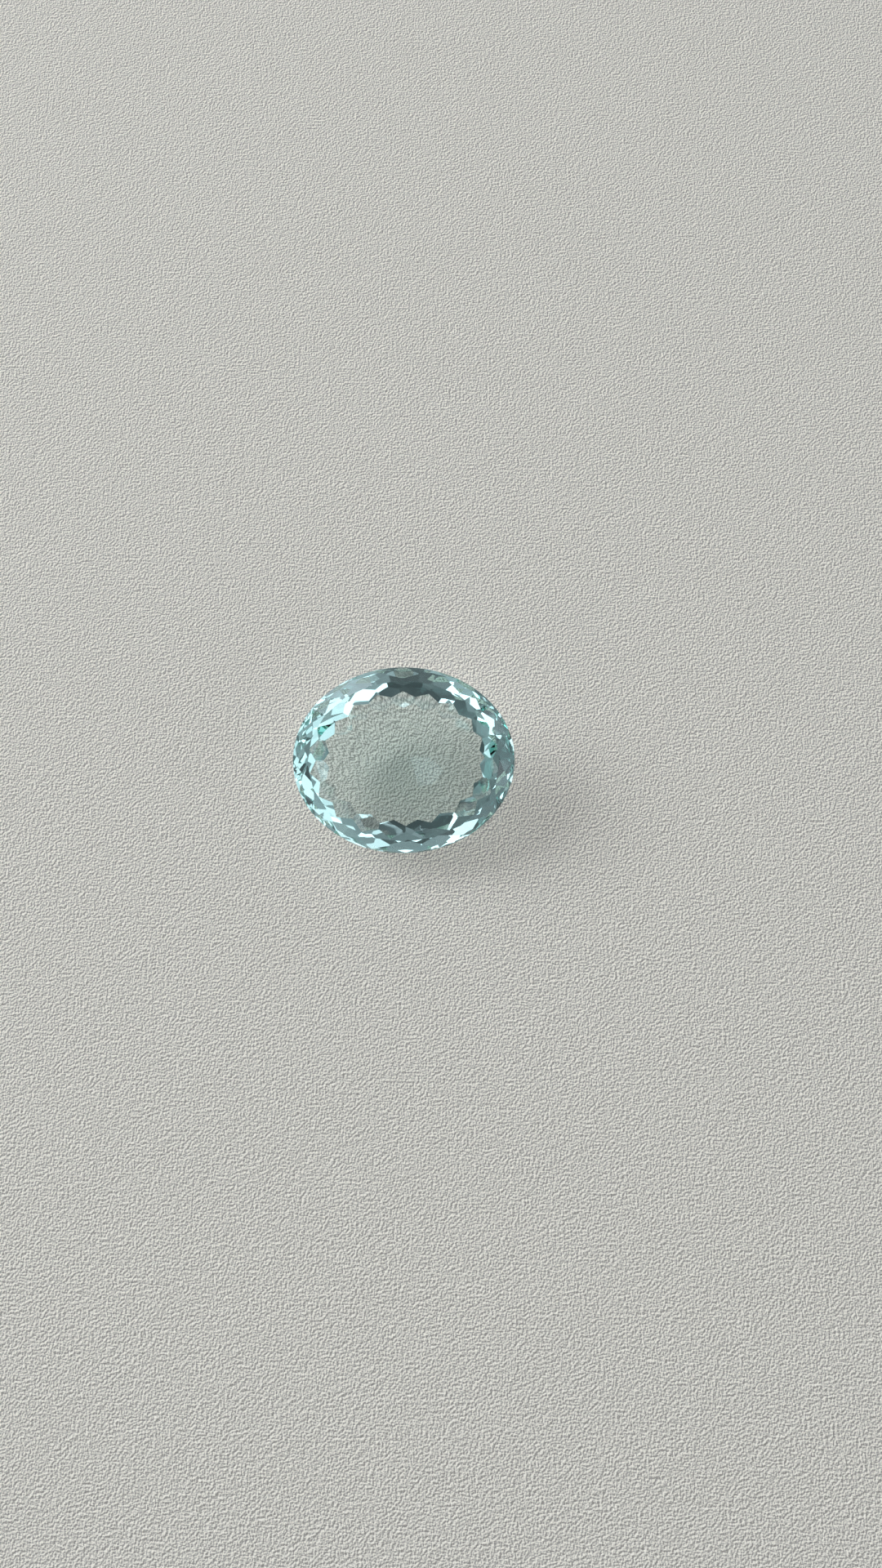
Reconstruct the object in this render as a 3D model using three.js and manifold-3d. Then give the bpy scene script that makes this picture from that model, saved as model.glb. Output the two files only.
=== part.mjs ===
// A loose, faceted oval prasiolite: a large flat table, a low crown, a thin girdle and a bowl-shaped
// pavilion cut in staggered rows of twenty facets that close on ten keel facets. It lies on one
// of the keel facets, so the table leans to one side, the way a loose stone comes to rest.
// Millimetres, +Z up, the surface it lies on is Z = 0, the long axis runs close to X.
import * as THREE from "three";
import { mergeVertices } from "three/addons/utils/BufferGeometryUtils.js";
import Module from "manifold-3d";

const wasm = await Module();
wasm.setup();

// Size of the stone.
const LENGTH = 17.64;
const WIDTH = 14.84;
const GIRDLE_THICKNESS = 0.26;
const TABLE_HEIGHT = 0.83; // above the middle of the girdle

// Facets in one full row, and flat sides round the girdle.
const FOLD = 20;
const GIRDLE_SIDES = 4 * FOLD;

// Each row of facets is ground at one slope, measured on the long sides of the oval. `reach` is how
// far out, as a share of the half width, its facets meet the row before them. `turn` is the heading
// of the first facet, as a share of the step from one facet to the next. `evenness` is 0 where the
// slope eases at the two ends of the oval as its outline draws out, and 1 where it stays the same
// all the way round.
// The crown, from the girdle up to the table: upper girdle facets, then the crown mains.
const CROWN_ROWS = [
  { count: 2 * FOLD, slope: 39.7, reach: 1, turn: 0.5, evenness: 0 },
  { count: FOLD, slope: 30.4, reach: 0.984, turn: 0.5, evenness: 0 },
];
// The pavilion, from the girdle down: three outer rows, two inner rows, then the keel facets.
const PAVILION_ROWS = [
  { count: FOLD, slope: 61, reach: 1, turn: 0.5, evenness: 0.46 },
  { count: FOLD, slope: 54, reach: 0.975, turn: 0, evenness: 0.46 },
  { count: FOLD, slope: 46, reach: 0.87, turn: 0.5, evenness: 0.3 },
  { count: FOLD, slope: 37.2, reach: 0.738, turn: 0, evenness: 0.19 },
  { count: FOLD, slope: 30.8, reach: 0.614, turn: 0.5, evenness: 0.94 },
  { count: FOLD / 2, slope: 20.5, reach: 0.372, turn: 0.5, evenness: 0.94 },
];

// The stone rests on the keel facet that faces this heading before the whole stone is turned.
const REST_ROW = 5;
const REST_HEADING = 270;
// Then the stone is turned to this heading.
const HEADING = 1;

const UP = new THREE.Vector3(0, 0, 1);
const DOWN = new THREE.Vector3(0, 0, -1);
const halfWidth = WIDTH / 2;
const stretch = LENGTH / WIDTH;
const radians = THREE.MathUtils.degToRad;

// A closed three.js geometry as a manifold-3d solid.
function solidOf(geometry) {
  const bare = geometry.clone();
  bare.deleteAttribute("normal");
  bare.deleteAttribute("uv");
  const merged = mergeVertices(bare);
  return new wasm.Manifold(
    new wasm.Mesh({
      numProp: 3,
      vertProperties: new Float32Array(merged.attributes.position.array),
      triVerts: new Uint32Array(merged.index.array),
    }),
  );
}

// A manifold-3d solid as a three.js geometry.
function geometryOf(solid) {
  const mesh = solid.getMesh();
  const geometry = new THREE.BufferGeometry();
  geometry.setAttribute("position", new THREE.BufferAttribute(new Float32Array(mesh.vertProperties), 3));
  geometry.setIndex(new THREE.BufferAttribute(new Uint32Array(mesh.triVerts), 1));
  return geometry;
}

// The slope of one facet of a row, on the round stone that is later drawn out into the oval.
function slopeAt(row, heading) {
  const drawn = Math.hypot(Math.cos(heading) / stretch, Math.sin(heading));
  return Math.atan(Math.tan(radians(row.slope)) / drawn ** row.evenness);
}

// How high a facet's plane stands over the point (x, y).
function heightOver(facet, x, y) {
  return (facet.distance - facet.normal.x * x - facet.normal.y * y) / facet.normal.z;
}

// Rows of facets, each found from the one before. `side` is +1 on the crown and -1 on the pavilion.
// A facet passes through the point of the stone's surface that lies at its row's reach on its own
// heading; the first row starts at the edge of the girdle.
function facetRows(rows, side) {
  let before = [];
  return rows.map((row) => {
    const facets = [];
    for (let i = 0; i < row.count; i++) {
      const heading = (2 * Math.PI * (i + row.turn)) / row.count;
      const slope = slopeAt(row, heading);
      const x = row.reach * halfWidth * Math.cos(heading);
      const y = row.reach * halfWidth * Math.sin(heading);
      const depths = before.map((facet) => side * heightOver(facet, x, y));
      const depth = before.length ? Math.min(...depths) : GIRDLE_THICKNESS / 2;
      const normal = new THREE.Vector3(
        Math.sin(slope) * Math.cos(heading),
        Math.sin(slope) * Math.sin(heading),
        side * Math.cos(slope),
      );
      facets.push({ heading, normal, distance: normal.dot(new THREE.Vector3(x, y, side * depth)) });
    }
    before = facets;
    return facets;
  });
}

// The stone with everything beyond one flat plane ground away.
function ground(stone, normal, distance) {
  const lap = new THREE.BoxGeometry(4 * WIDTH, 4 * WIDTH, 2 * WIDTH);
  lap.translate(0, 0, WIDTH);
  lap.applyQuaternion(new THREE.Quaternion().setFromUnitVectors(UP, normal));
  lap.translate(normal.x * distance, normal.y * distance, normal.z * distance);
  return stone.subtract(solidOf(lap));
}

// A round blank stands for the rough stone; each facet is then ground on it in turn.
const blank = new THREE.CylinderGeometry(halfWidth, halfWidth, 2 * WIDTH, GIRDLE_SIDES);
blank.rotateX(Math.PI / 2);
let stone = solidOf(blank);
const crown = facetRows(CROWN_ROWS, 1);
const pavilion = facetRows(PAVILION_ROWS, -1);
for (const facet of [...crown, ...pavilion].flat()) {
  stone = ground(stone, facet.normal, facet.distance);
}
stone = ground(stone, UP, TABLE_HEIGHT);

// The round design is drawn out along X into the oval. A plane stays a plane; its normal shrinks in X.
const geometry = geometryOf(stone);
geometry.scale(stretch, 1, 1);
const offRest = (facet) => Math.abs(facet.heading - radians(REST_HEADING));
const restFacet = pavilion[REST_ROW].reduce((a, b) => (offRest(b) < offRest(a) ? b : a));
const restNormal = restFacet.normal.clone();
restNormal.x /= stretch;
restNormal.normalize();

// Laid on its resting facet, turned to its heading, and centred over the origin.
geometry.applyQuaternion(new THREE.Quaternion().setFromUnitVectors(restNormal, DOWN));
geometry.rotateZ(radians(HEADING));
geometry.computeBoundingBox();
const box = geometry.boundingBox;
geometry.translate(-(box.min.x + box.max.x) / 2, -(box.min.y + box.max.y) / 2, -box.min.z);

const quartz = new THREE.MeshStandardMaterial({ color: 0x9fc4b8, roughness: 0.05, metalness: 0 });
const gemstone = new THREE.Mesh(geometry, quartz);
gemstone.name = "gemstone";

const part = new THREE.Group();
part.name = "prasiolite";
part.add(gemstone);

export default part;
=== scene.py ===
"""A loose, faceted oval prasiolite lying on pale paper under soft studio light.

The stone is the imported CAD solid, shown as clear quartz. Everything is in metres, +Z up, and the paper
is Z = 0. The camera stands on the near side, towards -Y. Azimuths are in degrees from +X towards +Y, so
the near side is at 270 and the left side at 180. Elevations are in degrees above the paper.
"""
import math

import bpy
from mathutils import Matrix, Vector


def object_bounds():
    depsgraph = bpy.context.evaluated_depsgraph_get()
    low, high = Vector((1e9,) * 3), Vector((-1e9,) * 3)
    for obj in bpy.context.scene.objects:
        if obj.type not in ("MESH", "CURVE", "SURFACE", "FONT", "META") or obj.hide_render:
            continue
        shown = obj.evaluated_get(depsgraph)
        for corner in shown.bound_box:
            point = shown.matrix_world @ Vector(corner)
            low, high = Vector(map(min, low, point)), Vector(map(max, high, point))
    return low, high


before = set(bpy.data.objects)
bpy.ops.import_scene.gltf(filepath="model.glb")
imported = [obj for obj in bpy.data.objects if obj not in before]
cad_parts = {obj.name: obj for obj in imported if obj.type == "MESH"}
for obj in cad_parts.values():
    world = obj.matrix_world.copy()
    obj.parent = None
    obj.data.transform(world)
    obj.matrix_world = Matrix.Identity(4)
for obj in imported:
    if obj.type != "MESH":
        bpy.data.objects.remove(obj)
CAD_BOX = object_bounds()

# The photograph's frame in pixels, and how the stone sits in it.
IMAGE_WIDTH = 1080
IMAGE_HEIGHT = 1920
FOCAL_PIXELS = 1550
STONE_CENTRE_PIXELS = (495, 936)
CAMERA_ELEVATION = 75.8
CAMERA_DISTANCE = 0.102
SENSOR_MILLIMETRES = 36
CLIP_START = 0.005
CLIP_END = 5

# Quartz. The absorption takes red first, so the stone is greener and bluer where it is deeper.
QUARTZ_IOR = 1.547
ABSORPTION_COLOUR = (0.32, 0.92, 0.83)
ABSORPTION_DENSITY = 36
POLISH_SCALE = 350
POLISH_DETAIL = 1.0
POLISH_HEIGHT = 0.00002

# Paper. The gap keeps it off the facet that the stone rests on, as two faces in one plane render black.
PAPER_SIZE = 2.0
PAPER_GAP = 0.00003
PAPER_COLOUR = (0.96, 0.92, 0.787)
PAPER_ROUGHNESS = 0.9
PAPER_SPECULAR = 0.1
GRAIN_SCALE = 5400
GRAIN_DETAIL = 3.0
GRAIN_ROUGHNESS = 0.72
# The grain's colour is painted shading of its relief, as if lit from the far left: the shift points towards
# that light, and the dark share sets how deep the painted shade goes.
GRAIN_SHIFT = 0.000075
GRAIN_PAINTED_SHADING_CONTRAST = 4.8
GRAIN_PAINTED_SHADE_SHARE = 0.36
GRAIN_HEIGHT = 0.0002

# Room: the light that comes from everywhere. Shares are of its strength, and edges are where a shade begins
# and ends: across the band, round the near side, and round the screen.
LIGHT_COLOUR = (0.95, 0.985, 1.09)
ROOM_STRENGTH = 0.6
ROOM_TOP_SHARE = 0.6
BAND_SHARE = 0.26
BAND_MIDDLE = -0.08
BAND_EDGES = (0.18, 0.5)
NEAR_SIDE_EDGES = (0.38, 0.56)
SCREEN_AZIMUTH = 184
SCREEN_ELEVATION = 38
SCREEN_SHARE = 0.5
SCREEN_EDGES = (0.84, 0.95)

# Lights.
LIGHT_DISTANCE = 0.8
POOL_WATTS = 16
POOL_RADIUS = 0.0062
POOL_SETBACK = 0.0009
POOL_SOURCE_RADIUS = 0.01

# How often a ray is followed from facet to facet before it leaves the stone.
MAX_BOUNCES = 24
MIRROR_BOUNCES = 12


def node(tree, kind, **inputs):
    """A shader node with its unlinked inputs set by name."""
    made = tree.nodes.new(kind)
    for name, value in inputs.items():
        made.inputs[name.replace("_", " ")].default_value = value
    return made


def maths(tree, operation, *sources):
    """A maths node fed by sockets or numbers."""
    made = tree.nodes.new("ShaderNodeMath")
    made.operation = operation
    for socket, source in zip(made.inputs, sources):
        if isinstance(source, (int, float)):
            socket.default_value = source
        else:
            tree.links.new(source, socket)
    return made.outputs["Value"]


def ramp(tree, source, stops):
    """A smooth grey ramp over a value, from (place, grey) stops."""
    made = tree.nodes.new("ShaderNodeValToRGB")
    made.color_ramp.interpolation = "EASE"
    for element, (place, grey) in zip(made.color_ramp.elements, stops):
        element.position = place
        element.color = (grey, grey, grey, 1)
    tree.links.new(source, made.inputs["Fac"])
    return made.outputs["Color"]


def direction(azimuth, elevation):
    """The unit vector towards a heading and a height."""
    a = math.radians(azimuth)
    e = math.radians(elevation)
    return Vector((math.cos(a) * math.cos(e), math.sin(a) * math.cos(e), math.sin(e)))


def quartz_material():
    """Clear, pale blue-green quartz: flat polished faces that waver faintly, tinted by its depth."""
    material = bpy.data.materials.new("prasiolite_quartz")
    material.use_nodes = True
    tree = material.node_tree
    tree.nodes.clear()
    out = tree.nodes.new("ShaderNodeOutputMaterial")
    shader = node(tree, "ShaderNodeBsdfPrincipled", Roughness=0.0, IOR=QUARTZ_IOR, Transmission_Weight=1)
    tree.links.new(shader.outputs["BSDF"], out.inputs["Surface"])
    place = tree.nodes.new("ShaderNodeTexCoord")
    waver = node(tree, "ShaderNodeTexNoise", Scale=POLISH_SCALE, Detail=POLISH_DETAIL)
    tree.links.new(place.outputs["Object"], waver.inputs["Vector"])
    polish = node(tree, "ShaderNodeBump", Strength=1.0, Distance=POLISH_HEIGHT)
    tree.links.new(waver.outputs["Fac"], polish.inputs["Height"])
    tree.links.new(polish.outputs["Normal"], shader.inputs["Normal"])
    tint = (*ABSORPTION_COLOUR, 1)
    depth = node(tree, "ShaderNodeVolumeAbsorption", Color=tint, Density=ABSORPTION_DENSITY)
    tree.links.new(depth.outputs["Volume"], out.inputs["Volume"])
    return material


def grain_noise(tree, place):
    """The height of the paper's grain at a place."""
    noise = node(
        tree, "ShaderNodeTexNoise", Scale=GRAIN_SCALE, Detail=GRAIN_DETAIL, Roughness=GRAIN_ROUGHNESS)
    tree.links.new(place, noise.inputs["Vector"])
    return noise.outputs["Fac"]


def paper_material():
    """Pale matt paper with a fine embossed grain and painted shading in its colour: slopes towards the far
    left are painted light, the others painted shade.
    """
    material = bpy.data.materials.new("paper")
    material.use_nodes = True
    tree = material.node_tree
    shader = tree.nodes["Principled BSDF"]
    shader.inputs["Roughness"].default_value = PAPER_ROUGHNESS
    shader.inputs["Specular IOR Level"].default_value = PAPER_SPECULAR
    here = tree.nodes.new("ShaderNodeTexCoord").outputs["Object"]
    shift = tree.nodes.new("ShaderNodeVectorMath")
    shift.inputs[1].default_value = (-GRAIN_SHIFT, GRAIN_SHIFT, 0)
    tree.links.new(here, shift.inputs[0])
    height = grain_noise(tree, here)
    height_beside = grain_noise(tree, shift.outputs["Vector"])
    # Painted shading: the colour is light where the grain faces the far left, as if lit from there, and
    # painted shade where it faces away.
    slope = maths(tree, "SUBTRACT", height, height_beside)
    painted_light_and_shade = maths(tree, "MULTIPLY_ADD", slope, GRAIN_PAINTED_SHADING_CONTRAST, 0.5)
    tone = tree.nodes.new("ShaderNodeValToRGB")
    # The ramp runs from the painted shade up to the paper's own colour.
    dark, light = tone.color_ramp.elements
    dark.color = (*[GRAIN_PAINTED_SHADE_SHARE * c for c in PAPER_COLOUR], 1)
    light.color = (*PAPER_COLOUR, 1)
    tree.links.new(painted_light_and_shade, tone.inputs["Fac"])
    tree.links.new(tone.outputs["Color"], shader.inputs["Base Color"])
    relief = node(tree, "ShaderNodeBump", Strength=1.0, Distance=GRAIN_HEIGHT)
    tree.links.new(height, relief.inputs["Height"])
    tree.links.new(relief.outputs["Normal"], shader.inputs["Normal"])
    return material


def floor():
    """The sheet of paper that the stone lies on."""
    mesh = bpy.data.meshes.new("paper")
    reach = PAPER_SIZE / 2
    corners = [(x * reach, y * reach, -PAPER_GAP) for x, y in ((-1, -1), (1, -1), (1, 1), (-1, 1))]
    mesh.from_pydata(corners, [], [(0, 1, 2, 3)])
    made = bpy.data.objects.new("paper", mesh)
    made.data.materials.append(paper_material())
    bpy.context.scene.collection.objects.link(made)


def softbox(name, azimuth, elevation, width, height, radiance, shadow=False, seen=True):
    """A rectangular light that faces the stone. One that isn't seen lights the paper only, never a facet."""
    data = bpy.data.lights.new(name, "AREA")
    data.shape = "RECTANGLE"
    data.size = width
    data.size_y = height
    data.energy = radiance * math.pi * width * height
    data.color = LIGHT_COLOUR
    data.use_shadow = shadow
    made = bpy.data.objects.new(name, data)
    made.visible_glossy = made.visible_transmission = seen
    away = direction(azimuth, elevation)
    made.location = away * LIGHT_DISTANCE
    made.rotation_mode = "QUATERNION"
    made.rotation_quaternion = away.to_track_quat("Z", "Y")
    bpy.context.scene.collection.objects.link(made)


def pool():
    """The light that the stone hands on to the paper under it, shadowless and fading inside its outline."""
    data = bpy.data.lights.new("stone_pool", "SPOT")
    data.energy = POOL_WATTS
    data.color = LIGHT_COLOUR
    data.use_shadow = False
    data.spot_size = 2 * math.atan(POOL_RADIUS / LIGHT_DISTANCE)
    data.spot_blend = 1
    data.shadow_soft_size = POOL_SOURCE_RADIUS
    made = bpy.data.objects.new("stone_pool", data)
    made.visible_glossy = made.visible_transmission = False
    made.location = (0, POOL_SETBACK, LIGHT_DISTANCE)
    bpy.context.scene.collection.objects.link(made)


def lights():
    """Window light from the far left, and small panels where the stone's bright facets look."""
    softbox("key_window", 158, 31, 0.4, 0.36, 5.9, shadow=True, seen=False)
    softbox("floor_fill", 100, 75, 0.8, 0.8, 0.5, seen=False)
    softbox("left_window", 138, 36, 0.36, 0.42, 2.6, shadow=True)
    softbox("left_low_fill", 217, 30, 0.2, 0.32, 2.1)
    softbox("back_left_fill", 157, 30, 0.16, 0.2, 1.6)
    softbox("left_fill", 187, 47, 0.14, 0.2, 1.8)
    softbox("left_high_fill", 142, 66, 0.14, 0.14, 1.8)
    softbox("right_fill", 12, 36, 0.3, 0.2, 1.0)
    softbox("right_high_fill", 37, 66, 0.3, 0.24, 0.95)
    softbox("right_middle_fill", 352, 43, 0.24, 0.24, 0.8)
    softbox("near_right_low_fill", 336, 30, 0.3, 0.3, 1.15)
    softbox("near_right_fill", 338, 54, 0.25, 0.24, 1.1)
    softbox("near_right_high_fill", 322, 68, 0.17, 0.15, 2.0)
    softbox("near_fill", 304, 48, 0.1, 0.14, 2.0)
    softbox("overhead_fill", 97, 78, 0.16, 0.12, 2.0)
    pool()


def room():
    """Soft daylight, weaker from above.

    It is dark in a band from overhead down the near side, where the viewer stands, and dimmed by a screen
    on the left, which the stone's right-hand end looks at.
    """
    world = bpy.data.worlds.new("room")
    world.use_nodes = True
    tree = world.node_tree
    shade = tree.nodes["Background"]
    shade.inputs["Color"].default_value = (*LIGHT_COLOUR, 1)
    place = tree.nodes.new("ShaderNodeTexCoord").outputs["Generated"]
    split = tree.nodes.new("ShaderNodeSeparateXYZ")
    tree.links.new(place, split.inputs["Vector"])
    aside = maths(tree, "ABSOLUTE", maths(tree, "SUBTRACT", split.outputs["X"], BAND_MIDDLE))
    in_band = ramp(tree, aside, ((BAND_EDGES[0], 1.0), (BAND_EDGES[1], 0.0)))
    nearness = maths(tree, "MULTIPLY_ADD", split.outputs["Y"], -0.5, 0.5)
    on_near_side = ramp(tree, nearness, ((NEAR_SIDE_EDGES[0], 0.0), (NEAR_SIDE_EDGES[1], 1.0)))
    dark = maths(tree, "MULTIPLY", in_band, on_near_side)
    light = maths(tree, "MULTIPLY_ADD", dark, BAND_SHARE - 1, 1.0)
    toward_screen = tree.nodes.new("ShaderNodeVectorMath")
    toward_screen.operation = "DOT_PRODUCT"
    toward_screen.inputs[1].default_value = direction(SCREEN_AZIMUTH, SCREEN_ELEVATION)
    tree.links.new(place, toward_screen.inputs[0])
    past_screen = ramp(
        tree, toward_screen.outputs["Value"], ((SCREEN_EDGES[0], 1.0), (SCREEN_EDGES[1], SCREEN_SHARE)))
    light = maths(tree, "MULTIPLY", light, past_screen)
    falling = maths(tree, "MULTIPLY_ADD", split.outputs["Z"], ROOM_TOP_SHARE - 1, 1.0)
    level = maths(tree, "MULTIPLY", maths(tree, "MULTIPLY", falling, light), ROOM_STRENGTH)
    tree.links.new(level, shade.inputs["Strength"])
    bpy.context.scene.world = world


def camera():
    """Near overhead, from the near side, with the stone a little left of the frame's middle and above it."""
    data = bpy.data.cameras.new("camera")
    data.sensor_width = SENSOR_MILLIMETRES
    data.lens = SENSOR_MILLIMETRES * FOCAL_PIXELS / IMAGE_HEIGHT
    data.clip_start = CLIP_START
    data.clip_end = CLIP_END
    made = bpy.data.objects.new("camera", data)
    low, high = CAD_BOX
    centre = (low + high) / 2
    e = math.radians(CAMERA_ELEVATION)
    back = Vector((0, -math.cos(e), math.sin(e)))
    up = Vector((0, math.sin(e), math.cos(e)))
    right = Vector((1, 0, 0))
    x = (STONE_CENTRE_PIXELS[0] - IMAGE_WIDTH / 2) / FOCAL_PIXELS
    y = (IMAGE_HEIGHT / 2 - STONE_CENTRE_PIXELS[1]) / FOCAL_PIXELS
    made.location = centre + CAMERA_DISTANCE * (back - right * x - up * y)
    made.rotation_mode = "QUATERNION"
    made.rotation_quaternion = back.to_track_quat("Z", "Y")
    bpy.context.scene.collection.objects.link(made)
    bpy.context.scene.camera = made


def look_settings():
    """Colours shown as they are, and rays that go on long enough to cross the stone."""
    scene = bpy.context.scene
    scene.view_settings.view_transform = "Standard"
    scene.cycles.max_bounces = MAX_BOUNCES
    scene.cycles.transmission_bounces = MAX_BOUNCES
    scene.cycles.glossy_bounces = MIRROR_BOUNCES
    scene.cycles.use_denoising = True
    scene.cycles.use_light_tree = False


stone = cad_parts["gemstone"]
stone.data.materials.clear()
stone.data.materials.append(quartz_material())
floor()
lights()
room()
camera()
look_settings()
